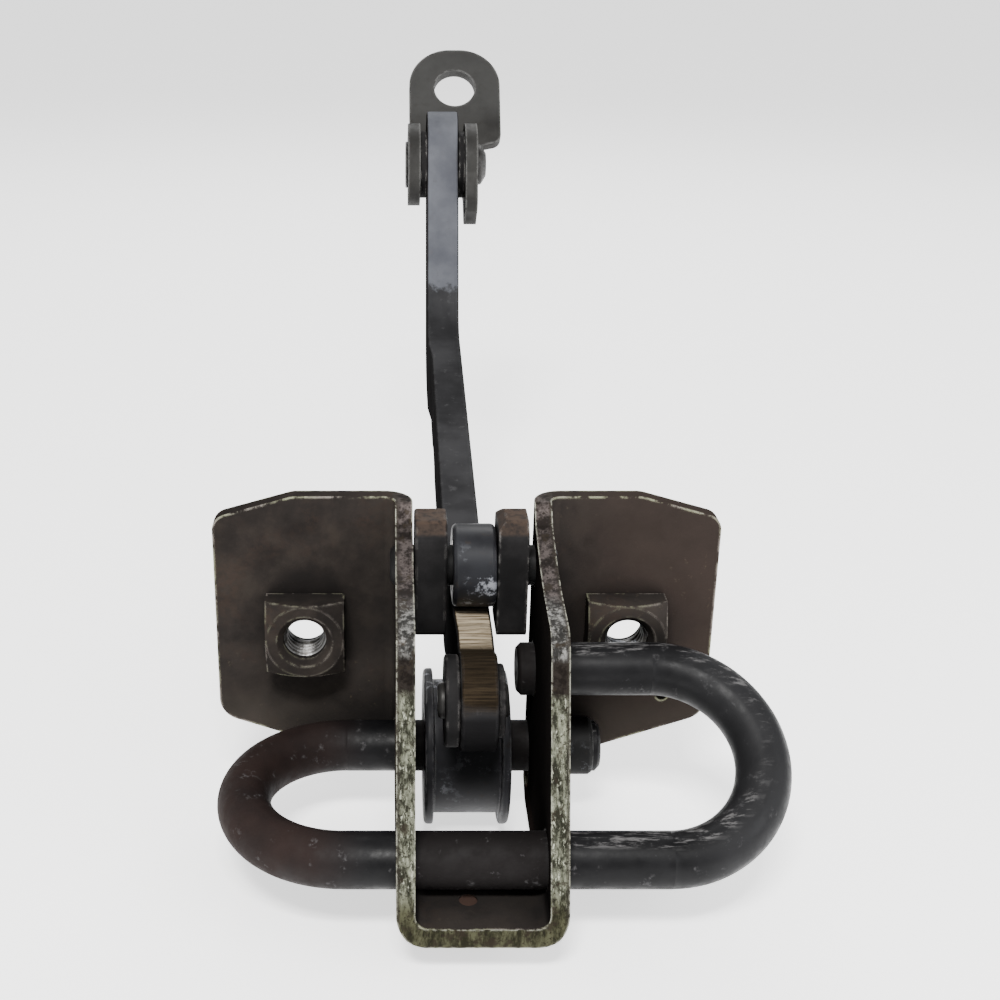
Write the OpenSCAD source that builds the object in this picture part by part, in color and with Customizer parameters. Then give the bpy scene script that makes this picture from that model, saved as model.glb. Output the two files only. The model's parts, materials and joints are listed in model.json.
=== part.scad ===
// Vehicle door check: a check arm slides between two rollers in a sheet-steel bracket.
// A bent spring bar carries the lower roller and presses it against the arm.
// Millimetres. Origin: middle of the two bolt holes, on the back face of the flanges.
// X runs across the flanges, Y runs away from the channel, Z is up.

/* [Bracket] */
// thickness of the bracket sheet
sheet_t = 3; // [2:0.1:4]
// clear gap between the two channel walls
wall_gap = 21; // [18:0.5:26]
// overall width across both flanges
flange_width = 89.4; // [80:0.2:104]
// distance between the two bolt holes
hole_spacing = 57; // [50:0.5:66]
// height of the flange beside the walls
flange_height = 50; // [44:1:58]
// distance from the back face to the front top of the walls
channel_depth = 37; // [34:0.5:44]

/* [Weld nuts] */
// width across the flats of a square weld nut
nut_af = 14; // [12:0.5:17]
// height of a square weld nut
nut_h = 6; // [5:0.1:9]
// radius of the bore over the thread crests
thread_r = 3.8; // [2.5:0.05:4.3]

/* [Spring] */
// diameter of the spring bar
bar_d = 9.2; // [8:0.1:10]
// distance between the two legs of a loop
leg_spacing = 34.6; // [33:0.1:37]
// distance of the left bend centre from the middle
left_reach = 22; // [19:0.5:30]
// distance of the right bend centre from the middle
right_reach = 30.5; // [26:0.5:40]

/* [Rollers] */
// radius of the upper roller
upper_roller_r = 7.2; // [6:0.1:8]
// radius of the running surface of the lower roller
lower_roller_r = 12; // [10:0.1:13]
// width of the lower roller
lower_roller_w = 15; // [12:0.5:18]
// diameter of the upper roller pin
roller_pin_d = 7; // [5:0.1:8]

/* [Arm] */
// thickness of the check arm plate
arm_t = 6.2; // [4:0.1:7]
// height of the check arm plate
arm_h = 16.6; // [15:0.1:18]
// upward tilt of the straight part of the arm
arm_tilt = 8.5; // [7:0.1:10]
// length of the straight part of the arm
arm_straight = 142; // [120:1:160]
// angle of the raised end above level
arm_rise = 68; // [55:1:80]
// length of the raised end up to the pivot
rise_len = 47; // [36:1:60]
// diameter of the stop pin through the nose
stop_d = 6; // [4:0.1:7]

/* [Pivot bracket] */
// diameter of the pivot pin
pivot_d = 6.5; // [5:0.1:8]
// clear gap between the two cheeks
cheek_gap = 11; // [8:0.1:14]
// thickness of the pivot bracket sheet
pivot_t = 3; // [2:0.1:4]
// width of the base plate
base_w = 23.6; // [20:0.2:30]
// diameter of the bolt hole in the base plate
pillar_hole_d = 10.5; // [8:0.1:12]
// distance from the pivot to the bolt hole along the plate
pillar_reach = 27; // [22:0.5:40]

/* [Hidden] */
$fn = 64;
run = 0.05;
// the channel sits a little to the right of the middle of the bolt holes
channel_x = 0.95;
// sideways set of the arm behind the rollers
arm_set = -1.2;
bend_i = 2;
bend_o = bend_i + sheet_t;
wi = wall_gap / 2;
wo = wi + sheet_t;
bar_r = bar_d / 2;
flange_x = flange_width / 2;
hole_x = hole_spacing / 2;
// upper and lower edge of the flanges beside the walls, from the bolt holes
fz1 = 25.3;
fz0 = fz1 - flange_height;
// lower leg of the spring, close behind the front edge of the walls
leg_y = -channel_depth - 6;
leg_z = -21.3;
// follower leg, level behind the lower leg
fol_a = 0;
fol_y = leg_y + leg_spacing * cos(fol_a);
fol_z = leg_z + leg_spacing * sin(fol_a);
// anchored leg on the right side
anc_a = 33;
anc_y = leg_y + leg_spacing * cos(anc_a);
anc_z = leg_z + leg_spacing * sin(anc_a);
// inner end of the anchored leg
anc_end = 6.6 + 0.9;
// outer end of the follower leg
fol_end = wo + 10;
// front edge of the walls leans out towards the web
front_top_y = -channel_depth;
front_top_z = 16;
front_run = 17;
web_in = leg_z - bar_r - 0.9;
web_z = web_in - sheet_t;
front_bot_y = front_top_y - front_run;
web_len = 22;
wall_low = fol_z - bar_r - 6.6;
slot_travel = 3;
// arm line, taken through the point where the lower roller touches the arm
tc = cos(arm_tilt);
ts = sin(arm_tilt);
nip_y = fol_y - (lower_roller_r + run) * ts;
nip_z = fol_z + (lower_roller_r + run) * tc;
// upper roller sits on the upper edge, a little further back
up_shift = 5;
up_y = nip_y - (arm_h + upper_roller_r + run) * ts + up_shift * tc;
up_z = nip_z + (arm_h + upper_roller_r + run) * tc + up_shift * ts;
up_w = 7.4;
pin_r = roller_pin_d / 2;
// middle of the arm nose, on the middle line of the arm
nose_back = 16;
mid_y = nip_y - arm_h / 2 * ts;
mid_z = nip_z + arm_h / 2 * tc;
nose_up = 2.6;
nose_y = mid_y - nose_back * tc - nose_up * ts;
nose_z = mid_z - nose_back * ts + nose_up * tc;
nose_r = arm_h / 2;
stop_r = stop_d / 2;
// where the arm turns up, and the pivot at its end
turn_y = mid_y + (arm_straight - nose_back) * tc;
turn_z = mid_z + (arm_straight - nose_back) * ts;
pc = cos(arm_rise);
ps = sin(arm_rise);
piv_y = turn_y + rise_len * pc;
piv_z = turn_z + rise_len * ps;
eye_r = 6.6;
eye_end = 2 * eye_r - 0.2;
piv_r = pivot_d / 2;
// the arm is a little thicker behind the rollers, and thicker again on its raised end
back_t = arm_t + 0.8;
end_t = arm_t + 1.5;
washer_t = cheek_gap / 2 - end_t / 2 - 0.05;
cheek_o = cheek_gap / 2 + pivot_t;
// pivot bracket leans back from the vertical
lean = 38;
base_y = 10;
cheek_r = 10;
base_x0 = -cheek_o + 0.6;
hole_px = 3.3;
roll_x = -0.8;

// corner rounding: points of a polygon with an arc of radius r[i] at corner i
function unit(v) = v / norm(v);
function arc_pts(a, b, c, r) =
  let (u = unit(a - b), w = unit(c - b), k = acos(max(-1, min(1, u * w))) / 2)
  let (d = r / tan(k), p = b + u * d, q = b + w * d, m = b + unit(u + w) * r / sin(k))
  let (t0 = atan2(p[1] - m[1], p[0] - m[0]), t1 = atan2(q[1] - m[1], q[0] - m[0]))
  let (dt = t1 - t0, s = dt > 180 ? dt - 360 : dt < -180 ? dt + 360 : dt)
  let (n = 5 + ceil(r * 1.3))
  [for (i = [0 : n]) m + r * [cos(t0 + s * i / n), sin(t0 + s * i / n)]];
function rounded(p, r) = [
  for (i = [0 : len(p) - 1])
    for (q = r[i] > 0
      ? arc_pts(p[(i + len(p) - 1) % len(p)], p[i], p[(i + 1) % len(p)], r[i])
      : [p[i]]) q
];

// draws a side view outline, y then z, as a plate from x0 to x1
module side(x0, x1) {
  translate([x0, 0, 0]) rotate([90, 0, 90]) linear_extrude(x1 - x0) children();
}
// draws a front view outline, x then z, as a plate from y0 to y1
module front(y0, y1) {
  translate([0, y1, 0]) rotate([90, 0, 0]) linear_extrude(y1 - y0) children();
}
module rod(x0, x1, y, z, r) {
  translate([x0, y, z]) rotate([0, 90, 0]) cylinder(h = x1 - x0, r = r);
}
module cone(x0, x1, y, z, r0, r1) {
  translate([x0, y, z]) rotate([0, 90, 0]) cylinder(h = x1 - x0, r1 = r0, r2 = r1);
}
module tube(x0, x1, y, z, ro, ri) {
  difference() {
    rod(x0, x1, y, z, ro);
    rod(x0 - 1, x1 + 1, y, z, ri);
  }
}
// shifts what belongs to the channel, and what belongs to the far end of the arm
module ch() {
  translate([channel_x, 0, 0]) children();
}
module far() {
  translate([channel_x + arm_set, 0, 0]) children();
}
module both() {
  children();
  mirror([1, 0, 0]) children();
}

module wall_outline() {
  polygon(rounded(
    [[0, wall_low + 6], [0, fz1], [-5.5, fz1],
     [-8.5, fz1 - 3.2], [-18.3, front_top_z + 2.4], [-25, front_top_z + 1], [front_top_y, front_top_z],
     [front_bot_y, web_in - 1.7], [front_bot_y, web_z - 1],
     [front_bot_y + web_len, web_z - 1],
     [front_bot_y + web_len + 2, wall_low], [-bend_o - 4, wall_low]],
    [0, 0, 1, 1.5, 8, 12, 4.5, 0, 0, 0, 2, 2]));
}
module channel_section() {
  difference() {
    union() {
      translate([-wo, web_z + bend_o]) square([2 * wo, 80]);
      translate([-wo + bend_o, web_z]) square([2 * (wo - bend_o), 80]);
      translate([-wo + bend_o, web_z + bend_o]) circle(r = bend_o);
      translate([wo - bend_o, web_z + bend_o]) circle(r = bend_o);
    }
    translate([-wi, web_in + bend_i]) square([2 * wi, 80]);
    translate([-wi + bend_i, web_in]) square([2 * (wi - bend_i), 80]);
    translate([-wi + bend_i, web_in + bend_i]) circle(r = bend_i);
    translate([wi - bend_i, web_in + bend_i]) circle(r = bend_i);
  }
}
module walls() {
  ch() intersection() {
    side(-wo - 1, wo + 1) wall_outline();
    union() {
      front(-80, front_bot_y + web_len + 0.01) channel_section();
      both() translate([wi, front_bot_y + web_len, -60])
        cube([sheet_t, -bend_o - front_bot_y - web_len, 120]);
    }
  }
}
module flange_outline() {
  polygon(rounded(
    [[wi - 3, fz0 - 1.6], [wi - 3, fz1], [30.5, fz1], [flange_x, fz1 - 4.1],
     [flange_x, fz0 + 6.8], [25, fz0]],
    [0, 0, 6, 3, 4.5, 5]));
}
module flange_section() {
  translate([wo + bend_i, -sheet_t]) square([60, sheet_t]);
  intersection() {
    translate([wi, -bend_o]) square([bend_o, bend_o]);
    difference() {
      translate([wo + bend_i, -bend_o]) circle(r = bend_o);
      translate([wo + bend_i, -bend_o]) circle(r = bend_i);
    }
  }
}
module flanges() {
  intersection() {
    ch() both() translate([0, 0, -60]) linear_extrude(120) flange_section();
    both() front(-20, 10) flange_outline();
  }
}
module bracket() {
  color([0.23, 0.21, 0.2]) difference() {
    union() {
      walls();
      flanges();
    }
    both() translate([hole_x, -10, 0]) rotate([-90, 0, 0]) cylinder(h = 20, r = thread_r + 1.45);
    translate([36.5, -10, -14]) rotate([-90, 0, 0]) cylinder(h = 20, r = 1);
    rod(-40, 40, leg_y, leg_z, bar_r + run);
    ch() rod(wi - 2, 40, anc_y, anc_z, bar_r + run);
    rod(-40, 40, up_y, up_z, pin_r);
    side(-40, 40) union() {
      translate([fol_y, fol_z]) circle(r = bar_r + 0.35);
      translate([fol_y, fol_z - slot_travel]) circle(r = bar_r + 0.35);
      translate([fol_y - bar_r - 0.35, fol_z - slot_travel])
        square([bar_d + 0.7, slot_travel]);
    }
    translate([-1, front_bot_y + 8, web_in - 0.3]) cylinder(h = 10, r = 1.5);
  }
}

module weld_nut(x) {
  h = nut_af / 2;
  color([0.25, 0.24, 0.23]) translate([x, 0, 0]) difference() {
    union() {
      intersection() {
        translate([-h, -sheet_t - nut_h, -h]) cube([nut_af, nut_h - 0.5, nut_af]);
        translate([0, -sheet_t, 0]) rotate([90, 0, 0])
          cylinder(h = nut_h, r1 = h + 8.5, r2 = h - 0.2);
      }
      for (i = [-1, 1]) for (j = [-1, 1])
        translate([i * (h - 1.9), -sheet_t, j * (h - 1.9)]) rotate([90, 0, 0])
          cylinder(h = 1, r = 1.4);
      rotate([90, 0, 0]) cylinder(h = sheet_t + 1, r = thread_r + 1.4);
    }
    translate([0, 1, 0]) rotate([90, 0, 0]) cylinder(h = 20, r = thread_r);
    translate([0, -sheet_t - nut_h - 0.01, 0]) rotate([-90, 0, 0])
      cylinder(h = 1.3, r1 = thread_r + 1.1, r2 = thread_r - 0.1);
  }
}
module weld_nut_left() { weld_nut(-hole_x); }
module weld_nut_right() { weld_nut(hole_x); }

module loop(x, a, dir) {
  translate([x, leg_y + leg_spacing / 2 * cos(a), leg_z + leg_spacing / 2 * sin(a)])
    rotate([a, 0, 0]) rotate([0, 0, dir > 0 ? -90 : 90])
      rotate_extrude(angle = 180) translate([leg_spacing / 2, 0]) circle(r = bar_r - 0.02);
}
module torsion_spring() {
  color([0.19, 0.19, 0.2]) ch() union() {
    rod(-left_reach, right_reach, leg_y, leg_z, bar_r);
    loop(-left_reach, fol_a, -1);
    rod(-left_reach, fol_end - 0.8, fol_y, fol_z, bar_r);
    cone(fol_end - 0.8, fol_end, fol_y, fol_z, bar_r, bar_r - 0.8);
    loop(right_reach, anc_a, 1);
    rod(anc_end + 0.8, right_reach, anc_y, anc_z, bar_r);
    cone(anc_end, anc_end + 0.8, anc_y, anc_z, bar_r - 0.8, bar_r);
  }
}
module spring_retainer() {
  color([0.12, 0.12, 0.12]) ch() difference() {
    union() {
      rod(wo + bend_i + 0.1, fol_end - 2, fol_y, fol_z, bar_r + 0.6);
      cone(fol_end - 2, fol_end - 1.4, fol_y, fol_z, bar_r + 0.6, bar_r + 0.2);
    }
    rod(wo - 1, fol_end + 1, fol_y, fol_z, bar_r);
  }
}

module lower_roller() {
  w = lower_roller_w / 2;
  color([0.27, 0.27, 0.3]) ch() difference() {
    union() {
      rod(roll_x - w + 1, roll_x + w - 1, fol_y, fol_z, lower_roller_r);
      rod(roll_x - w + 0.4, roll_x - w + 1.6, fol_y, fol_z, lower_roller_r + 2);
      cone(roll_x - w, roll_x - w + 0.4, fol_y, fol_z, lower_roller_r + 1.6, lower_roller_r + 2);
      rod(roll_x + w - 1.6, roll_x + w - 0.4, fol_y, fol_z, lower_roller_r + 2);
      cone(roll_x + w - 0.4, roll_x + w, fol_y, fol_z, lower_roller_r + 2, lower_roller_r + 1.6);
    }
    rod(-40, 40, fol_y, fol_z, bar_r + 1.5);
  }
}
module lower_roller_bush() {
  w = lower_roller_w / 2;
  color([0.5, 0.38, 0.2]) ch()
    tube(roll_x - w + 0.2, roll_x + w - 0.2, fol_y, fol_z, bar_r + 1.5, bar_r + run);
}
module upper_roller_pin() {
  color([0.3, 0.29, 0.28]) ch() union() {
    rod(-wo - 0.1, wo + 0.1, up_y, up_z, pin_r);
    cone(wo + 0.1, wo + 0.9, up_y, up_z, pin_r, pin_r - 0.9);
    cone(-wo - 0.9, -wo - 0.1, up_y, up_z, pin_r - 0.9, pin_r);
  }
}
module upper_roller() {
  w = up_w / 2;
  color([0.36, 0.36, 0.4]) ch() difference() {
    union() {
      rod(-w + 0.5, w - 0.5, up_y, up_z, upper_roller_r);
      cone(w - 0.5, w, up_y, up_z, upper_roller_r, upper_roller_r - 0.5);
      cone(-w, -w + 0.5, up_y, up_z, upper_roller_r - 0.5, upper_roller_r);
    }
    rod(-w - 1, w + 1, up_y, up_z, pin_r + 1);
  }
}
module upper_roller_bush() {
  w = up_w / 2;
  color([0.5, 0.38, 0.2]) ch() tube(-w + 0.1, w - 0.1, up_y, up_z, pin_r + 1, pin_r + run);
}

// guide blocks hang on the roller pin and take the blow of the stop
block_y0 = up_y - 5.2;
block_y1 = up_y + 5.2;
block_z0 = nose_z + 4.6;
block_in = arm_set + end_t / 2 - back_t - 0.35;
module block_outline() {
  polygon(rounded(
    [[block_y0, block_z0], [block_y0, up_z + 7.2], [block_y0 + 2.4, up_z + 9.4],
     [block_y1, up_z + 9.4], [block_y1, block_z0]],
    [1.2, 2, 2, 3, 1.2]));
}
module guide_block_left() {
  color([0.1, 0.09, 0.09]) ch() difference() {
    side(-wi + 0.25, block_in) block_outline();
    rod(-20, 0, up_y, up_z, pin_r);
    translate([block_in, block_y0 - 1, up_z + 9.4]) rotate([0, 45, 0])
      cube([2.4, 20, 2.4], center = false);
  }
}
module guide_block_right() {
  color([0.1, 0.09, 0.09]) ch() difference() {
    side(up_w / 2 + 0.2, wi - 1.4) block_outline();
    rod(0, 20, up_y, up_z, pin_r);
    rod(anc_end - 0.6, 20, anc_y, anc_z, bar_r + 0.6);
    translate([up_w / 2 + 0.2, block_y0 - 1, up_z + 8]) rotate([0, -45, 0])
      cube([2.4, 20, 2.4], center = false);
  }
}

// detent notches in the lower edge, measured along the arm from the roller
notches = [46, 84];
notch_r = lower_roller_r + 6;
notch_d = 1.8;
function on_arm(s, h) = [mid_y + s * tc - h * ts, mid_z + s * ts + h * tc];
module arm_outline() {
  h = nose_r;
  u = nose_up;
  a0 = on_arm(-nose_back - h, h + u);
  a1 = on_arm(-nose_back - h, u - h);
  k = (arm_rise - arm_tilt) / 2;
  g = h / cos(k);
  m = (arm_rise + arm_tilt) / 2;
  hi_in = [turn_y - g * sin(m), turn_z + g * cos(m)];
  lo_out = [turn_y + g * sin(m), turn_z - g * cos(m)];
  // the end stands well past the pivot
  b0 = [piv_y + eye_end * pc - eye_r * ps, piv_z + eye_end * ps + eye_r * pc];
  b1 = [piv_y + eye_end * pc + eye_r * ps, piv_z + eye_end * ps - eye_r * pc];
  difference() {
    polygon(rounded([a0, on_arm(-nose_back + 2, h + u), on_arm(-nose_back + 6, h), hi_in,
      b0, b1, lo_out, on_arm(-nose_back + 9, -h), on_arm(-nose_back + 2, u - h), a1],
      [h - 0.05, 4, 4, 9, eye_r - 0.05, eye_r - 0.05, 19, 6, 6, h - 0.05]));
    for (s = notches)
      translate(on_arm(s, -h - notch_r + notch_d)) circle(r = notch_r);
  }
}
// plan of the arm: straight at the nose, then set over behind the rollers
module arm_plan() {
  h = arm_t / 2;
  y0 = mid_y - 6;
  y1 = mid_y + 14;
  xr = arm_set + end_t / 2;
  xl = xr - back_t;
  xe = xr - end_t;
  polygon([[h, -120], [h, y0], [xr, y1], [xr, 260],
    [xe, 260], [xe, turn_y - 14], [xl, turn_y - 20], [xl, y1], [-h, y0], [-h, -120]]);
}
module check_arm() {
  color([0.35, 0.35, 0.38]) ch() difference() {
    intersection() {
      side(-10, 10) arm_outline();
      translate([0, 0, -100]) linear_extrude(300) arm_plan();
    }
    rod(-20, 20, nose_y, nose_z, stop_r);
    rod(-20, 20, piv_y, piv_z, piv_r + 0.9);
  }
}
module stop_pin() {
  color([0.3, 0.29, 0.28]) ch() union() {
    rod(-6.1, 4.6, nose_y, nose_z, stop_r);
    cone(4.6, 5.1, nose_y, nose_z, stop_r, stop_r - 0.5);
    cone(-6.6, -6.1, nose_y, nose_z, stop_r - 0.5, stop_r);
  }
}
module stop_sleeve_left() {
  color([0.09, 0.09, 0.09]) ch() union() {
    tube(-arm_t / 2 - 2.4, -arm_t / 2, nose_y, nose_z, nose_r - 0.7, stop_r);
  }
}
module stop_sleeve_right() {
  color([0.09, 0.09, 0.09]) ch() tube(arm_t / 2, arm_t / 2 + 1.2, nose_y, nose_z, nose_r - 2.2, stop_r);
}
module pivot_bush() {
  color([0.5, 0.38, 0.2]) far() tube(-end_t / 2, end_t / 2, piv_y, piv_z, piv_r + 0.9, piv_r + run);
}

// everything on the pivot bracket is drawn upright about the pivot, then leaned back
module at_pivot() {
  far() translate([0, piv_y, piv_z]) rotate([-lean, 0, 0]) children();
}
module cheek_section() {
  bo = 1.5 + pivot_t;
  yo = base_y + pivot_t / 2;
  difference() {
    union() {
      translate([-cheek_o, -20]) square([2 * cheek_o, 20 + yo - bo]);
      translate([-cheek_o + bo, -20]) square([2 * (cheek_o - bo), 20 + yo]);
      translate([-cheek_o + bo, yo - bo]) circle(r = bo);
      translate([cheek_o - bo, yo - bo]) circle(r = bo);
    }
    translate([-cheek_gap / 2, -21]) square([cheek_gap, 21 + yo - bo]);
    translate([-cheek_o + bo, -21]) square([2 * (cheek_o - bo), 21 + yo - pivot_t]);
    translate([-cheek_o + bo, yo - bo]) circle(r = 1.5);
    translate([cheek_o - bo, yo - bo]) circle(r = 1.5);
  }
}
module cheek_outline() {
  circle(r = cheek_r);
  polygon([[0, -cheek_r + 0.1], [cheek_r * 0.7, -cheek_r * 0.7], [base_y + 4, -0.5],
    [base_y + 4, cheek_r], [0, cheek_r - 0.1]]);
}
module base_outline() {
  x1 = base_x0 + base_w;
  t = pillar_reach + 11.3;
  polygon(rounded(
    [[-cheek_o + 4.6, 2], [-cheek_o + 4.6, 8], [base_x0, 12], [base_x0, t], [x1, t], [x1, 11.5],
     [cheek_o - 4.6, 9], [cheek_o - 4.6, 2]],
    [0, 0, 2, 10.5, 10.5, 2.5, 0, 0]));
}
module pivot_bracket() {
  cx = base_x0 + base_w / 2;
  color([0.3, 0.3, 0.28]) at_pivot() difference() {
    union() {
      intersection() {
        translate([0, 0, -40]) linear_extrude(80) cheek_section();
        side(-30, 30) cheek_outline();
      }
      front(base_y - pivot_t / 2, base_y + pivot_t / 2) base_outline();
      // the right cheek reaches further down than the left
      side(cheek_gap / 2, cheek_o)
        polygon(rounded([[-9.4, 0], [9.4, 0], [6.5, -cheek_r - 4.3], [-5.5, -cheek_r - 4.3]],
          [0, 0, 4, 4]));
    }
    translate([cx, -30, pillar_reach]) rotate([-90, 0, 0]) cylinder(h = 60, r = pillar_hole_d / 2);
    rod(-30, 30, 0, 0, piv_r);
    // room for the arm to swing back between the cheeks
    translate([-cheek_gap / 2, 0, -30]) cube([cheek_gap, 30, 30.5]);
  }
}
module pivot_pin() {
  color([0.4, 0.4, 0.4]) at_pivot() union() {
    rod(-cheek_o, cheek_o, 0, 0, piv_r);
    rod(-cheek_o - 0.6, -cheek_o, 0, 0, piv_r + 2.4);
    rod(cheek_o, cheek_o + 1.2, 0, 0, piv_r + 1.6);
    cone(cheek_o + 1.2, cheek_o + 2.4, 0, 0, piv_r + 1.6, piv_r - 0.4);
  }
}
module pivot_washer(x0, x1) {
  color([0.3, 0.3, 0.3]) at_pivot() tube(x0, x1, 0, 0, base_y - pivot_t / 2 - 0.4, piv_r + 0.35);
}
module pivot_washer_left() { pivot_washer(-cheek_gap / 2, -cheek_gap / 2 + washer_t); }
module pivot_washer_right() { pivot_washer(cheek_gap / 2 - washer_t, cheek_gap / 2); }

bracket();
weld_nut_left();
weld_nut_right();
torsion_spring();
spring_retainer();
lower_roller();
lower_roller_bush();
upper_roller_pin();
upper_roller();
upper_roller_bush();
guide_block_left();
guide_block_right();
check_arm();
stop_pin();
stop_sleeve_left();
stop_sleeve_right();
pivot_bush();
pivot_bracket();
pivot_pin();
pivot_washer_left();
pivot_washer_right();
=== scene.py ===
import json
import math

import bmesh
import bpy
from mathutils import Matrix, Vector


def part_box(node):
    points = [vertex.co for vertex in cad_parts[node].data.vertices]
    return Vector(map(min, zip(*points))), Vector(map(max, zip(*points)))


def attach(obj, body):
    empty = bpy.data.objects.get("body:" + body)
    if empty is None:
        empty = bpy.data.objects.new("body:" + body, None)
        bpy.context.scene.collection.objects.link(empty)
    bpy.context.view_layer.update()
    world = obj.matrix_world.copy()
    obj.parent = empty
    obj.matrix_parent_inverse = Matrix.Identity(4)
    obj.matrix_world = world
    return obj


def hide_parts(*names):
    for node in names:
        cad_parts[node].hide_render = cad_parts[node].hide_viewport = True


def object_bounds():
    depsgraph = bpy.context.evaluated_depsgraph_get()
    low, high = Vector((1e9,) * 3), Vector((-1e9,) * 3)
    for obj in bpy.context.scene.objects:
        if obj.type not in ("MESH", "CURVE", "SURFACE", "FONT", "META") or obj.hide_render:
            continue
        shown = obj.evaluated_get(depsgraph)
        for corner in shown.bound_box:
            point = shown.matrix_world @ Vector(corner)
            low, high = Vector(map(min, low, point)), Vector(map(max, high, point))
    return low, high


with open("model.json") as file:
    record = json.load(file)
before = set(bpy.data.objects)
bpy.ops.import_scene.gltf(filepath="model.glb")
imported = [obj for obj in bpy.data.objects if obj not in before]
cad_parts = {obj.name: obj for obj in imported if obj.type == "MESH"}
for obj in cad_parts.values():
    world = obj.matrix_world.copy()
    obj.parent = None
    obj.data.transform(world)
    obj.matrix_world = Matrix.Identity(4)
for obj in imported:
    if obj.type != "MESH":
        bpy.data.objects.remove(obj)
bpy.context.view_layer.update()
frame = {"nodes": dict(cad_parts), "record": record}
nodes = frame["nodes"]
MM = 0.001


# ---------------------------------------------------------------- helpers
def mid(node):
    lo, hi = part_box(node)
    return [(lo[i] + hi[i]) / 2 for i in range(3)]


def body_name(node):
    for b, names in frame["record"]["behaviour"]["bodies"].items():
        if node in names:
            return b


def place(obj, node, mat, replace=True):
    obj.data.materials.clear()
    obj.data.materials.append(mat)
    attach(obj, body_name(node))
    if replace:
        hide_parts(node)
    return obj


def new_object(name, bm, smooth=True):
    me = bpy.data.meshes.new(name)
    bm.to_mesh(me)
    bm.free()
    if smooth:
        for p in me.polygons:
            p.use_smooth = True
    ob = bpy.data.objects.new(name, me)
    bpy.context.scene.collection.objects.link(ob)
    return ob


def apply_modifiers(ob):
    dg = bpy.context.evaluated_depsgraph_get()
    me = bpy.data.meshes.new_from_object(ob.evaluated_get(dg))
    old = ob.data
    ob.modifiers.clear()
    ob.data = me
    bpy.data.meshes.remove(old)


def clone(node, name, bevel=0.3, segments=2, angle=32):
    """A copy of a CAD node with welded corners and rounded, worn edges."""
    src = nodes[node]
    bm = bmesh.new()
    bm.from_mesh(src.data)
    bmesh.ops.transform(bm, matrix=src.matrix_world, verts=bm.verts)
    bmesh.ops.remove_doubles(bm, verts=bm.verts, dist=2e-6)
    bmesh.ops.dissolve_limit(bm, angle_limit=math.radians(0.6), verts=bm.verts, edges=bm.edges)
    ob = new_object(name, bm)
    if bevel:
        m = ob.modifiers.new("edges", "BEVEL")
        m.width = bevel * MM
        m.segments = segments
        m.limit_method = "ANGLE"
        m.angle_limit = math.radians(angle)
        m.use_clamp_overlap = True
        m.harden_normals = False
    w = ob.modifiers.new("normals", "WEIGHTED_NORMAL")
    w.keep_sharp = False
    apply_modifiers(ob)
    return ob


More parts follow.
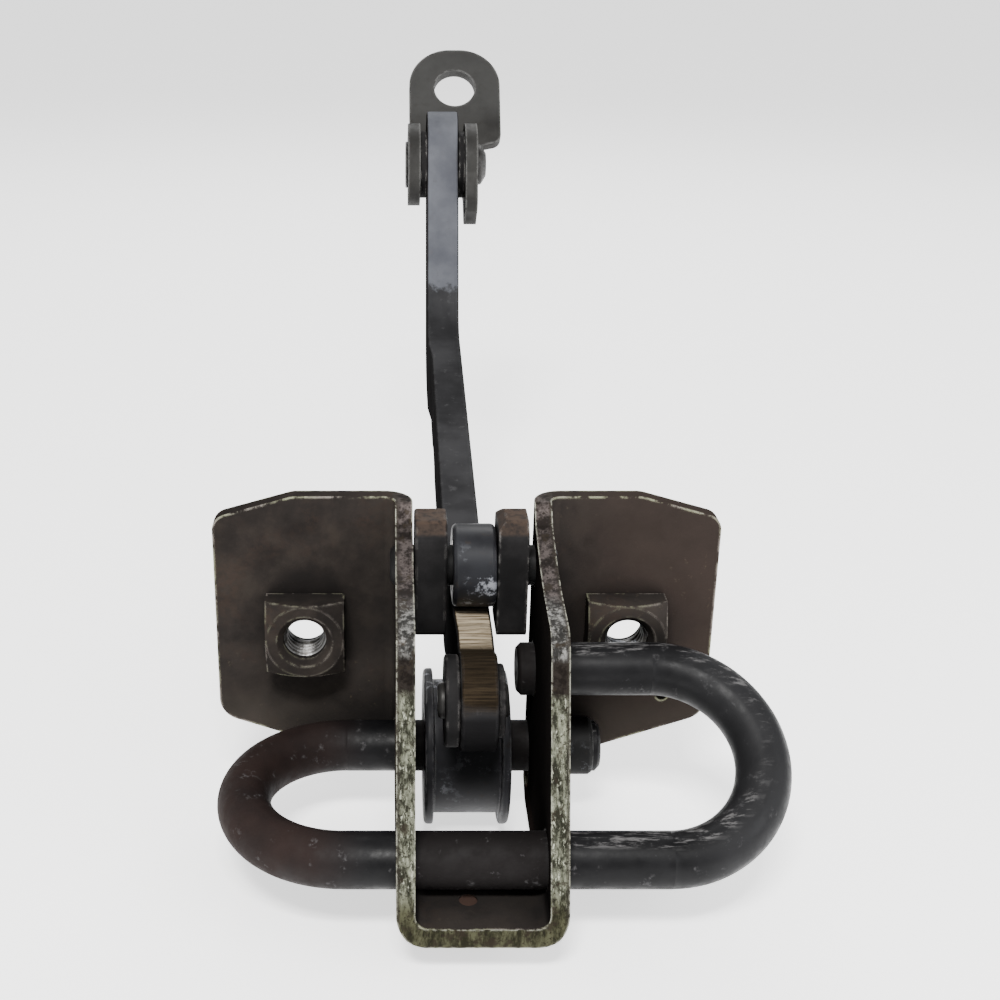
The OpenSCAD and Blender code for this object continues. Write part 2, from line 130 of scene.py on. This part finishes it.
# ---------------------------------------------------------------- materials
class Nodes:
    """Short calls for wiring one material."""

    def __init__(self, name):
        self.mat = bpy.data.materials.new(name)
        self.mat.use_nodes = True
        self.t = self.mat.node_tree
        self.bsdf = self.t.nodes["Principled BSDF"]
        self.coord = self.t.nodes.new("ShaderNodeTexCoord").outputs["Object"]

    def link(self, a, b):
        if isinstance(a, (int, float, tuple, list)):
            b.default_value = a
        else:
            self.t.links.new(a, b)

    def noise(self, scale, detail=4.0, rough=0.55, vec=None, stretch=None, distortion=0.0):
        n = self.t.nodes.new("ShaderNodeTexNoise")
        n.inputs["Scale"].default_value = scale
        n.inputs["Detail"].default_value = detail
        n.inputs["Roughness"].default_value = rough
        n.inputs["Distortion"].default_value = distortion
        v = vec if vec is not None else self.coord
        if stretch:
            v = self.vmul(v, stretch)
        self.link(v, n.inputs["Vector"])
        return n.outputs["Fac"]

    def vmul(self, v, s):
        n = self.t.nodes.new("ShaderNodeVectorMath")
        n.operation = "MULTIPLY"
        self.link(v, n.inputs[0])
        n.inputs[1].default_value = s
        return n.outputs[0]

    def xyz(self, v=None):
        n = self.t.nodes.new("ShaderNodeSeparateXYZ")
        self.link(v if v is not None else self.coord, n.inputs[0])
        return n.outputs

    def math(self, op, a, b=0.0, clamp=False):
        n = self.t.nodes.new("ShaderNodeMath")
        n.operation = op
        n.use_clamp = clamp
        self.link(a, n.inputs[0])
        self.link(b, n.inputs[1])
        return n.outputs[0]

    def step(self, v, lo, hi, a=0.0, b=1.0):
        """Smooth ramp of v from lo to hi, giving a to b."""
        n = self.t.nodes.new("ShaderNodeMapRange")
        n.interpolation_type = "SMOOTHSTEP"
        self.link(v, n.inputs["Value"])
        n.inputs["From Min"].default_value = lo
        n.inputs["From Max"].default_value = hi
        n.inputs["To Min"].default_value = a
        n.inputs["To Max"].default_value = b
        return n.outputs["Result"]

    def mix(self, f, a, b, mode="MIX"):
        n = self.t.nodes.new("ShaderNodeMix")
        n.data_type = "RGBA"
        n.blend_type = mode
        self.link(f, n.inputs[0])
        for v, s in ((a, n.inputs[6]), (b, n.inputs[7])):
            self.link(tuple(v) + (1.0,) if isinstance(v, (tuple, list)) and len(v) == 3 else v, s)
        return n.outputs[2]

    def edge(self, radius, lo=0.02, hi=0.25):
        """1 on outer edges and corners, 0 on flat faces."""
        bv = self.t.nodes.new("ShaderNodeBevel")
        bv.samples = 6
        bv.inputs["Radius"].default_value = radius * MM
        g = self.t.nodes.new("ShaderNodeNewGeometry")
        d = self.t.nodes.new("ShaderNodeVectorMath")
        d.operation = "DOT_PRODUCT"
        self.link(bv.outputs[0], d.inputs[0])
        self.link(g.outputs["Normal"], d.inputs[1])
        return self.step(self.math("SUBTRACT", 1.0, d.outputs["Value"]), lo * lo, hi * hi)

    def normal(self):
        g = self.t.nodes.new("ShaderNodeNewGeometry")
        return self.xyz(g.outputs["Normal"])

    def occlusion(self, dist):
        n = self.t.nodes.new("ShaderNodeAmbientOcclusion")
        n.samples = 6
        n.inputs["Distance"].default_value = dist * MM
        return n.outputs["AO"]

    def bump(self, height, strength, dist, chain=None):
        n = self.t.nodes.new("ShaderNodeBump")
        n.inputs["Strength"].default_value = strength
        n.inputs["Distance"].default_value = dist * MM
        self.link(height, n.inputs["Height"])
        if chain is not None:
            self.link(chain, n.inputs["Normal"])
        return n.outputs[0]

    def done(self, color, rough, metal, bump=None, spec=0.5):
        self.link(color, self.bsdf.inputs["Base Color"])
        self.link(rough, self.bsdf.inputs["Roughness"])
        self.link(metal, self.bsdf.inputs["Metallic"])
        self.bsdf.inputs["Specular IOR Level"].default_value = spec
        if bump is not None:
            self.link(bump, self.bsdf.inputs["Normal"])
        return self.mat


def oxide_sheet(name, strips=None, rust_x=None):
    """Old zinc plated sheet gone dark brown, with soiling and painted shade in its corners, and bright cut
    edges.

    strips is (middle x, inner half width, outer half width, height of the corner) for the
    front edges of the channel, where the plating still shows, with a painted highlight and painted shade at
    the bend."""
    m = Nodes(name)
    big = m.noise(28, 3, 0.5)
    mid_n = m.noise(140, 5, 0.6)
    fine = m.noise(900, 6, 0.65)
    pit = m.noise(1900, 5, 0.7)
    x, y, z = m.xyz()
    nx, ny, nz = m.normal()
    c = m.mix(m.step(big, 0.35, 0.65), (0.0150, 0.0129, 0.0118), (0.0245, 0.0210, 0.0190))
    c = m.mix(m.step(mid_n, 0.45, 0.72, 0, 0.55), c, (0.032, 0.0265, 0.0225))
    c = m.mix(m.step(mid_n, 0.50, 0.32, 0, 0.55), c, (0.0100, 0.0092, 0.0088))
    bloom = m.math("MULTIPLY", m.step(m.noise(60, 4, 0.6), 0.52, 0.68), m.step(fine, 0.35, 0.6))
    c = m.mix(m.math("MULTIPLY", bloom, 0.30), c, (0.036, 0.023, 0.017))
    if rust_x is not None:
        side = m.math("MULTIPLY", m.step(x, rust_x, rust_x + 0.02), m.step(big, 0.3, 0.6, 0.45, 1.0))
        c = m.mix(m.math("MULTIPLY", side, 0.75), c, (0.0290, 0.0215, 0.0185))
    dots = m.math("MULTIPLY", m.step(m.noise(650, 5, 0.75), 0.60, 0.70), m.step(big, 0.48, 0.62))
    c = m.mix(m.math("MULTIPLY", dots, 0.6), c, (0.075, 0.062, 0.040))
    if strips:
        foot = m.math("MULTIPLY", m.step(z, -0.010, -0.020),
                      m.step(m.math("ABSOLUTE", m.math("SUBTRACT", x, strips[0])), 0.020, 0.026))
        c = m.mix(m.math("MULTIPLY", foot, 0.5), c, (0.046, 0.040, 0.034))
    # painted shade, with soiling: darker where ambient occlusion finds corners and recesses
    grime_and_shade = m.step(m.occlusion(9), 0.85, 0.35)
    c = m.mix(m.math("MULTIPLY", grime_and_shade, 0.7), c, (0.0085, 0.0080, 0.0078))
    worn = m.math("MULTIPLY", m.edge(0.7), m.step(m.noise(420, 5, 0.7), 0.42, 0.56))
    if strips:
        floor_of = m.math("MULTIPLY", m.step(z, strips[5] + 0.0048, strips[5] + 0.0036),
                          m.step(y, -0.0530, -0.0526))
        worn = m.math("MULTIPLY", worn, m.math("SUBTRACT", 1.0, floor_of))
        mark = m.math("MULTIPLY", floor_of, m.step(z, strips[5] + 0.00296, strips[5] + 0.00286))
        c = m.mix(m.math("MULTIPLY", mark, 0.7), c, (0.040, 0.024, 0.019))
    bare = m.mix(m.step(m.noise(110, 3, 0.5), 0.42, 0.6), (0.30, 0.27, 0.24), (0.32, 0.33, 0.22))
    c = m.mix(m.math("MULTIPLY", worn, 0.75 if strips else 0.4), c, bare)
    metal = m.math("MULTIPLY", worn, 0.3)
    if strips:
        # painted shade: near black on the faces inside the channel walls
        from_mid = m.math("ABSOLUTE", m.math("SUBTRACT", x, strips[0]))
        channel_wall_shade = m.math("MULTIPLY", m.step(from_mid, strips[1] + 0.0004, strips[1] + 0.0001),
                        m.step(m.math("ABSOLUTE", nx), 0.6, 0.9))
        c = m.mix(m.math("MULTIPLY", channel_wall_shade, 0.85), c, (0.0045, 0.0040, 0.0040))
    if strips:
        mx, xi, xo, zc, zt, web_z = strips
        off = m.math("ABSOLUTE", m.math("SUBTRACT", x, mx))
        band = m.math("MULTIPLY", m.step(off, xi - 0.0006, xi - 0.0002),
                      m.step(off, xo + 0.0006, xo + 0.0002))
        facing = m.step(m.math("ABSOLUTE", nx), 0.72, 0.45)
        out = m.step(ny, 0.25, 0.0)
        strip = m.math("MULTIPLY", m.math("MULTIPLY", band, facing), out)
        front_low = m.math("MULTIPLY", m.step(ny, -0.6, -0.85), m.step(z, web_z + 0.0032, web_z + 0.0030))
        low = m.math("MULTIPLY", front_low, m.step(y, -0.05, -0.053))
        strip = m.math("MAXIMUM", strip, low)
        # pink silver high up, a painted highlight before the corner, painted shade round it, then yellow zinc
        # down the front
        q = m.math("ADD", m.math("ADD", z, m.math("MULTIPLY", y, 0.35)),
                   m.math("MULTIPLY", m.math("SUBTRACT", mid_n, 0.5), 0.004))
        tall = m.noise(430, 5, 0.75, stretch=(1.6, 1, 0.45))
        silver = m.mix(m.step(m.noise(300, 5, 0.75), 0.42, 0.60),
                       (0.012, 0.0100, 0.0092), (0.066, 0.055, 0.052))
        # painted highlight: a bright band on the strip before the bend
        bend_highlight = m.mix(m.step(m.noise(700, 5, 0.75, stretch=(1, 1, 0.35)), 0.44, 0.64),
                      (0.020, 0.0195, 0.0185), (0.180, 0.177, 0.168))
        # painted shade: the strip kept dark round the bend
        bend_shade = m.mix(m.step(fine, 0.4, 0.6), (0.0085, 0.0071, 0.0062), (0.018, 0.0150, 0.0130))
        yellow = m.mix(m.step(tall, 0.42, 0.66), (0.017, 0.0172, 0.0125), (0.185, 0.192, 0.142))
        streaks = m.noise(1.0, 5, 0.8, stretch=(1900, 900, 420))
        yellow = m.mix(m.step(streaks, 0.56, 0.64), yellow, (0.36, 0.37, 0.29))
        olive = m.mix(m.step(tall, 0.40, 0.64), (0.014, 0.0135, 0.0085), (0.056, 0.056, 0.033))
        col = m.mix(m.step(q, zc + 0.0008, zc - 0.0012), bend_shade, yellow)
        col = m.mix(m.step(z, web_z + 0.0095, web_z + 0.0050), col, olive)
        col = m.mix(m.step(q, zc + 0.0050, zc + 0.0066), col, bend_highlight)
        col = m.mix(m.step(q, zt - 0.0012, zt + 0.0018), col, silver)
        shade = m.step(off, xo - 0.0009, xo - 0.0002)
        col = m.mix(m.math("MULTIPLY", shade, 0.75), col, (0.020, 0.017, 0.014))
        col = m.mix(m.step(pit, 0.56, 0.62, 0, 0.85), col, (0.012, 0.010, 0.008))
        col = m.mix(m.step(m.noise(330, 4, 0.7), 0.55, 0.64, 0, 0.8), col, (0.020, 0.016, 0.012))
        rim = m.math("MULTIPLY", m.math("MULTIPLY", m.edge(0.5), m.step(fine, 0.42, 0.56)), strip)
        col = m.mix(m.math("MULTIPLY", rim, 0.65), col, (0.34, 0.34, 0.28))
        c = m.mix(strip, c, col)
        metal = m.math("MAXIMUM", metal, m.math("MULTIPLY", strip, 0.3))
    rough = m.math("ADD", m.step(mid_n, 0.3, 0.7, 0.46, 0.66), m.math("MULTIPLY", metal, -0.18))
    b = m.bump(mid_n, 0.25, 0.25)
    b = m.bump(fine, 0.40, 0.07, b)
    b = m.bump(pit, 0.25, 0.04, b)
    return m.done(c, rough, metal, b, 0.0)


def spring_bar(name):
    m = Nodes(name)
    n1 = m.noise(55, 4, 0.55)
    n2 = m.noise(300, 6, 0.65)
    n3 = m.noise(1300, 4, 0.6)
    x = m.xyz()[0]
    c = m.mix(m.step(n1, 0.35, 0.7), (0.0030, 0.0030, 0.0034), (0.0078, 0.0077, 0.0084))
    inner = m.math("MULTIPLY", m.step(m.math("ABSOLUTE", x), 0.0125, 0.0105), 0.75)
    c = m.mix(inner, c, (0.0062, 0.0048, 0.0045))
    left = m.math("MULTIPLY", m.step(x, -0.016, -0.030), m.step(n1, 0.30, 0.62, 0.35, 1.0))
    c = m.mix(m.math("MULTIPLY", left, 0.8), c, (0.0200, 0.0115, 0.0095))
    spots = m.math("MULTIPLY", m.step(n2, 0.57, 0.68), m.step(n3, 0.45, 0.6))
    c = m.mix(m.math("MULTIPLY", spots, 0.4), c, (0.10, 0.097, 0.10))
    right = m.math("MULTIPLY", m.step(x, 0.033, 0.042), 0.55)
    c = m.mix(right, c, (0.0165, 0.0165, 0.0175))
    # painted highlight: bright streaks on the upward faces of the right hand bars
    crown = m.math("MULTIPLY", m.step(m.normal()[2], 0.80, 0.95), m.step(x, 0.010, 0.016))
    painted_glint = m.math("MULTIPLY", crown, m.step(m.noise(1.0, 5, 0.75, stretch=(160, 900, 900)), 0.50, 0.62))
    c = m.mix(m.math("MULTIPLY", painted_glint, 0.5), c, (0.17, 0.165, 0.165))
    matt = m.math("MULTIPLY", m.math("MAXIMUM", left, inner), 0.38)
    rough = m.math("ADD", m.step(n2, 0.3, 0.7, 0.34, 0.58), matt)
    b = m.bump(n2, 0.35, 0.14)
    b = m.bump(n3, 0.3, 0.05, b)
    return m.done(c, rough, 0.0, b, 0.11)


def dark_steel(name, base, light, rough_lo=0.22, rough_hi=0.45, metal=0.6, edge=0.5, ring=True):
    """Turned steel with fine rings about X, brighter rubbed edges and painted highlight patches."""
    m = Nodes(name)
    n1 = m.noise(90, 4, 0.55)
    n2 = m.noise(520, 5, 0.65)
    c = m.mix(m.step(n1, 0.32, 0.68), base, light)
    c = m.mix(m.step(n2, 0.58, 0.72, 0, 0.6), c, (0.02, 0.016, 0.014))
    e = m.math("MULTIPLY", m.edge(0.6), m.step(n2, 0.35, 0.55))
    c = m.mix(m.math("MULTIPLY", e, edge), c, (0.30, 0.30, 0.30))
    # painted highlight: bright blue grey patches standing in for glints
    painted_glint = m.math("MULTIPLY", m.step(m.noise(230, 5, 0.75), 0.55, 0.64),
                 m.step(m.noise(45, 2, 0.5), 0.40, 0.60))
    c = m.mix(m.math("MULTIPLY", painted_glint, 0.8 if ring else 0.3), c, (0.30, 0.31, 0.34))
    streak = m.noise(1.0, 3, 0.6, stretch=(3500, 60, 60)) if ring else n2
    rough = m.math("ADD", m.step(n1, 0.3, 0.7, rough_lo, rough_hi), m.math("MULTIPLY", streak, 0.08))
    b = m.bump(streak, 0.18, 0.04)
    b = m.bump(n2, 0.25, 0.06, b)
    return m.done(c, rough, metal, b, 0.10)


def bronze(name):
    m = Nodes(name)
    n1 = m.noise(160, 4, 0.6)
    c = m.mix(m.step(n1, 0.35, 0.65), (0.20, 0.115, 0.045), (0.34, 0.22, 0.10))
    # painted shade: darker brown where ambient occlusion finds a recess
    c = m.mix(m.step(m.occlusion(3), 0.8, 0.3, 0, 0.7), c, (0.03, 0.02, 0.012))
    return m.done(c, m.step(n1, 0.3, 0.7, 0.25, 0.45), 0.9, m.bump(m.noise(900, 4), 0.2, 0.05))


def black_plastic(name, top_dirt_and_light=0.75):
    """Greasy black moulded plastic, brown on its upper faces with soiling and painted light."""
    m = Nodes(name)
    n1 = m.noise(130, 5, 0.6)
    n2 = m.noise(700, 5, 0.65)
    nz = m.normal()[2]
    c = m.mix(m.step(n1, 0.35, 0.7), (0.0070, 0.0068, 0.0070), (0.0145, 0.0138, 0.0140))
    # soiling and painted light: brown on the upward faces
    top = m.math("MULTIPLY", m.step(nz, 0.45, 0.9), m.step(n2, 0.3, 0.6, 0.2, 1.0))
    c = m.mix(m.math("MULTIPLY", top, top_dirt_and_light), c, (0.050, 0.034, 0.025))
    e = m.math("MULTIPLY", m.edge(0.7), m.step(m.noise(420, 4, 0.7), 0.45, 0.6))
    c = m.mix(m.math("MULTIPLY", e, 0.5), c, (0.22, 0.21, 0.20))
    b = m.bump(n1, 0.4, 0.2)
    b = m.bump(n2, 0.35, 0.07, b)
    return m.done(c, m.step(n1, 0.3, 0.7, 0.5, 0.8), 0.0, b, 0.04)


def arm_plate(name, nose_y, top_y, bend_y):
    """Worn plate: gold brown where the rollers wear the nose, with a painted highlight on its top
    and painted shade with grease beneath, greasy dark along the straight, blue grey on the raised end.
    nose_y is the middle of the round nose, which the painted highlight leaves out, top_y is where the upper
    roller stands, bend_y where the rise starts."""
    m = Nodes(name)
    x, y, z = m.xyz()
    nx, ny, nz = m.normal()
    n1 = m.noise(80, 4, 0.55)
    n2 = m.noise(420, 6, 0.65)
    n3 = m.noise(1500, 4, 0.6)
    c = m.mix(m.step(n1, 0.3, 0.7), (0.0150, 0.0149, 0.0156), (0.0300, 0.0298, 0.0312))
    c = m.mix(m.step(n2, 0.57, 0.72, 0, 0.6), c, (0.045, 0.0445, 0.046))
    side = m.step(m.math("ABSOLUTE", nx), 0.5, 0.8)
    wobble = m.math("MULTIPLY", m.math("SUBTRACT", n2, 0.5), 0.003)
    upper = m.step(m.math("ADD", y, wobble), bend_y - 0.0004, bend_y + 0.0004)
    pale = m.mix(m.step(n1, 0.3, 0.7), (0.046, 0.048, 0.056), (0.096, 0.100, 0.112))
    pale = m.mix(m.step(n2, 0.58, 0.72, 0, 0.6), pale, (0.055, 0.055, 0.060))
    pale = m.mix(side, pale, (0.012, 0.0115, 0.0115))
    c = m.mix(m.math("MULTIPLY", side, 0.8), c, (0.0060, 0.0058, 0.0058))
    c = m.mix(m.math("MULTIPLY", upper, 0.94), c, pale)
    nose = m.math("MULTIPLY", m.step(y, top_y + 0.001, top_y - 0.001), m.math("SUBTRACT", 1.0, side))
    down = m.step(m.math("ADD", nz, m.math("MULTIPLY", m.math("SUBTRACT", n1, 0.5), 0.7)), 0.14, 0.44)
    nose = m.math("MULTIPLY", nose, down)
    scr = m.noise(1.0, 5, 0.75, stretch=(90, 2600, 2600))
    broad = m.noise(1.0, 3, 0.6, stretch=(60, 700, 700))
    gold = m.mix(m.step(scr, 0.38, 0.66), (0.0085, 0.0063, 0.0040), (0.0230, 0.0168, 0.0100))
    # painted highlight: pale gold on the nose's flat top, broken by scratch striations
    top = m.step(m.math("ADD", nz, m.math("MULTIPLY", m.math("SUBTRACT", n1, 0.5), 0.1)), 0.86, 0.992)
    nose_highlight = m.mix(m.step(scr, 0.36, 0.60), (0.085, 0.062, 0.036), (0.48, 0.400, 0.285))
    top = m.math("MULTIPLY", top, m.step(y, nose_y + 0.0046, nose_y + 0.0079))
    gold = m.mix(m.math("MULTIPLY", top, m.step(broad, 0.30, 0.52, 0.35, 1.0)), gold, nose_highlight)
    gold = m.mix(m.step(n2, 0.60, 0.72, 0, 0.8), gold, (0.016, 0.011, 0.007))
    # grease and painted shade: near black on the downward faces of the nose
    underside_grease_and_shade = m.math("MULTIPLY", m.step(y, top_y + 0.001, top_y - 0.001), m.step(nz, 0.35, 0.05))
    c = m.mix(m.math("MULTIPLY", underside_grease_and_shade, 0.85), c, (0.0052, 0.0050, 0.0052))
    c = m.mix(m.math("MULTIPLY", nose, 0.96), c, gold)
    e = m.math("MULTIPLY", m.edge(0.6), m.step(n2, 0.42, 0.58))
    c = m.mix(m.math("MULTIPLY", e, 0.3), c, (0.20, 0.20, 0.21))
    rough = m.step(n1, 0.3, 0.7, 0.40, 0.60)
    rough = m.math("SUBTRACT", rough, m.math("MULTIPLY", nose, 0.04))
    b = m.bump(n2, 0.3, 0.12)
    b = m.bump(n3, 0.25, 0.05, b)
    b = m.bump(m.math("MULTIPLY", scr, nose), 0.6, 0.10, b)
    raised = m.math("MULTIPLY", m.math("MULTIPLY", upper, 0.5), m.math("SUBTRACT", 1.0, side))
    metal = m.math("MULTIPLY", m.math("ADD", nose, raised), 0.25)
    return m.done(c, rough, metal, b, 0.0)


def pillar_sheet(name, top_z):
    """Dark grey sheet, a little paler on the plate below top_z, its highest point, with painted shade in its
    recesses.
    """
    m = Nodes(name)
    n1 = m.noise(70, 4, 0.55)
    n2 = m.noise(380, 6, 0.65)
    c = m.mix(m.step(n1, 0.3, 0.7), (0.0110, 0.0105, 0.0098), (0.0250, 0.0243, 0.0228))
    c = m.mix(m.step(n2, 0.56, 0.72, 0, 0.6), c, (0.014, 0.012, 0.010))
    plate = m.step(m.xyz()[2], top_z - 0.018, top_z - 0.012)
    c = m.mix(m.math("MULTIPLY", plate, 0.45), c, (0.036, 0.036, 0.035))
    # painted shade: darker where ambient occlusion finds corners and recesses
    c = m.mix(m.step(m.occlusion(6), 0.85, 0.35, 0, 0.8), c, (0.0075, 0.007, 0.0065))
    e = m.math("MULTIPLY", m.edge(0.8), m.step(n2, 0.38, 0.55))
    c = m.mix(m.math("MULTIPLY", e, 0.5), c, (0.14, 0.14, 0.135))
    b = m.bump(n1, 0.25, 0.3)
    b = m.bump(n2, 0.3, 0.1, b)
    return m.done(c, m.step(n2, 0.3, 0.7, 0.5, 0.7), 0.05, b, 0.12)


arm_lo, arm_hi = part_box("check_arm")
up_mid = mid("upper_roller")
# the channel's middle and half widths inside and outside its walls, and where its front edge bends
chan_x = up_mid[0]
wall_in, wall_out = 0.0105, 0.0135
corner_z = up_mid[2] - 0.0216
front_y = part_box("bracket")[0][1]
bracket_ob = nodes["bracket"]
bracket_pts = [bracket_ob.matrix_world @ v.co for v in bracket_ob.data.vertices]
web_low = min(q.z for q in bracket_pts if q.y < front_y + 0.001)
sheet = oxide_sheet("oxide_sheet", (chan_x, wall_in, wall_out, corner_z, corner_z + 0.0134, web_low), 0.012)
nutmat = oxide_sheet("oxide_nut")
spring = spring_bar("spring_bar")
roller = dark_steel("roller_steel", (0.0076, 0.0076, 0.0088), (0.0140, 0.0145, 0.0170), 0.30, 0.50, 0.05, 0.3)
# painted light: the lower roller gets a lighter copy of the roller steel
lit_roller_low = dark_steel("roller_low_steel", (0.0185, 0.0185, 0.0205), (0.0300, 0.0300, 0.0335),
                        0.36, 0.56, 0.05, 0.3)
pin = dark_steel("pin_steel", (0.020, 0.019, 0.018), (0.050, 0.049, 0.048), 0.35, 0.55, 0.4, 0.3)
collar = dark_steel("collar_steel", (0.0050, 0.0050, 0.0050), (0.011, 0.011, 0.011),
                    0.45, 0.7, 0.1, 0.2, False)
brz = bronze("bush_bronze")
plastic = black_plastic("buffer_plastic")
sleeve = black_plastic("sleeve_plastic", 0.0)
washer = black_plastic("washer_plastic", 0.0)
pillar = pillar_sheet("pillar_sheet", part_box("pivot_bracket")[1][2])
nose_r = 0.0083
nose_y = arm_lo[1] + nose_r
arm_mat = arm_plate("arm_plate", nose_y, up_mid[1] - 0.002, arm_hi[1] - 0.0285)


# ---------------------------------------------------------------- pieces cut from the CAD shapes
def finish_clone(node, mat, bevel=0.3, segments=2, angle=32):
    return place(clone(node, node + "_v", bevel, segments, angle), node, mat)


finish_clone("bracket", sheet, 0.5, 3)
finish_clone("torsion_spring", spring, 0.0)
finish_clone("spring_retainer", collar, 0.35)
for n in ("weld_nut_left", "weld_nut_right"):
    finish_clone(n, nutmat, 0.45, 3)
for n in ("guide_block_left", "guide_block_right"):
    finish_clone(n, plastic, 0.5, 3)
finish_clone("check_arm", arm_mat, 0.6, 3)
finish_clone("stop_pin", pin, 0.25)
for n in ("stop_sleeve_left", "stop_sleeve_right"):
    finish_clone(n, sleeve, 0.4)
finish_clone("pivot_bush", brz, 0.2)
finish_clone("pivot_bracket", pillar, 0.5, 3)
finish_clone("pivot_pin", pin, 0.25)
for n in ("pivot_washer_left", "pivot_washer_right"):
    finish_clone(n, washer, 0.2)
finish_clone("upper_roller", roller, 0.35)
finish_clone("lower_roller", lit_roller_low, 0.35)
finish_clone("upper_roller_pin", collar, 0.25)
for n in ("lower_roller_bush", "upper_roller_bush"):
    finish_clone(n, brz, 0.15)


# threads cut in the weld nuts, as a ridge winding about Y
def thread(name, x, z, y0, y1, r_root, r_crest, pitch=1.25 * MM, steps=40):
    bm = bmesh.new()
    turns = (y1 - y0 - pitch) / pitch
    n = int(turns * steps)
    rings = []
    for i in range(n + 1):
        a = 2 * math.pi * i / steps
        fade = min(1.0, i / (steps * 0.5), (n - i) / (steps * 0.5))
        rc = r_root - (r_root - r_crest) * fade
        yc = y0 + pitch * (0.5 + i / steps)
        ca, sa = math.cos(a), math.sin(a)
        rings.append([bm.verts.new((x + r * ca, yc + dy, z + r * sa)) for dy, r in (
            (-0.46 * pitch, r_root), (-0.06 * pitch, rc), (0.06 * pitch, rc), (0.46 * pitch, r_root))])
    for a, b in zip(rings, rings[1:]):
        for k in range(4):
            bm.faces.new((a[k], a[(k + 1) % 4], b[(k + 1) % 4], b[k]))
    bm.faces.new(rings[0])
    bm.faces.new(list(reversed(rings[-1])))
    bmesh.ops.recalc_face_normals(bm, faces=bm.faces)
    return new_object(name, bm, False)


bolt_r = [q for q in frame["record"]["mounts"] if q["name"] == "door_bolts"][0]["dims"]["hole_r_mm"] * MM
thread_mat = dark_steel("thread_steel", (0.012, 0.011, 0.010), (0.055, 0.052, 0.048), 0.25, 0.45, 0.6, 0.5)
for n in ("weld_nut_left", "weld_nut_right"):
    (x0, y0, z0), (x1, y1, z1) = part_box(n)
    place(thread(n + "_thread", (x0 + x1) / 2, (z0 + z1) / 2, y0 + 1.2 * MM, y1 - 0.4 * MM,
                 bolt_r + 0.02 * MM, bolt_r - 0.55 * MM), n, thread_mat, False)


# ---------------------------------------------------------------- stage
lo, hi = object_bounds()
stage_bm = bmesh.new()
bmesh.ops.create_grid(stage_bm, x_segments=40, y_segments=40, size=30.0)
floor = new_object("floor", stage_bm)
floor.location = (0, 0, lo[2] - 0.0005)
fm = Nodes("floor_paper")
fc = fm.mix(fm.noise(3, 3, 0.5), (0.93, 0.93, 0.93), (0.96, 0.96, 0.96))
fm.bsdf.inputs["Emission Color"].default_value = (1.0, 1.0, 1.0, 1.0)
fm.bsdf.inputs["Emission Strength"].default_value = 1.3
floor.data.materials.append(fm.done(fc, 0.9, 0.0, fm.bump(fm.noise(400, 4), 0.05, 0.1), 0.1))

world = bpy.data.worlds.new("studio")
bpy.context.scene.world = world
world.use_nodes = True
wt = world.node_tree
bg = wt.nodes["Background"]
bg.inputs["Color"].default_value = (1.0, 1.0, 1.0, 1.0)
bg.inputs["Strength"].default_value = 0.6


def softbox(name, where, at, w, h, power, color=(1, 1, 1)):
    d = bpy.data.lights.new(name, "AREA")
    d.shape = "RECTANGLE"
    d.size, d.size_y = w, h
    d.energy = power
    d.color = color
    o = bpy.data.objects.new(name, d)
    o.location = where
    o.rotation_euler = (Vector(at) - Vector(where)).to_track_quat("-Z", "Y").to_euler()
    bpy.context.scene.collection.objects.link(o)
    return o


softbox("key", (-0.10, -0.42, 0.58), (0, 0.04, 0), 0.16, 0.12, 7.5, (1.0, 0.99, 0.97))
softbox("glint", (0.02, -0.40, 0.56), (0, 0.0, 0), 0.05, 0.04, 1.6)
softbox("fill", (0.50, -0.30, 0.30), (0, 0.04, 0), 0.5, 0.4, 3.0, (0.97, 0.98, 1.0))
softbox("back", (0.05, 0.60, 0.55), (0, 0.05, 0.02), 0.6, 0.3, 4.0)

# ---------------------------------------------------------------- camera
cam = bpy.data.cameras.new("camera")
cam.sensor_width = 36.0
cam.lens = 52.27
cam.shift_x = 0.113
cam.clip_start = 0.01
cam.dof.use_dof = False
cam_ob = bpy.data.objects.new("camera", cam)
cam_ob.location = (-0.01395, -0.2371, 0.1193)
cam_ob.rotation_euler = (math.radians(68), 0, 0)
bpy.context.scene.collection.objects.link(cam_ob)
bpy.context.scene.camera = cam_ob
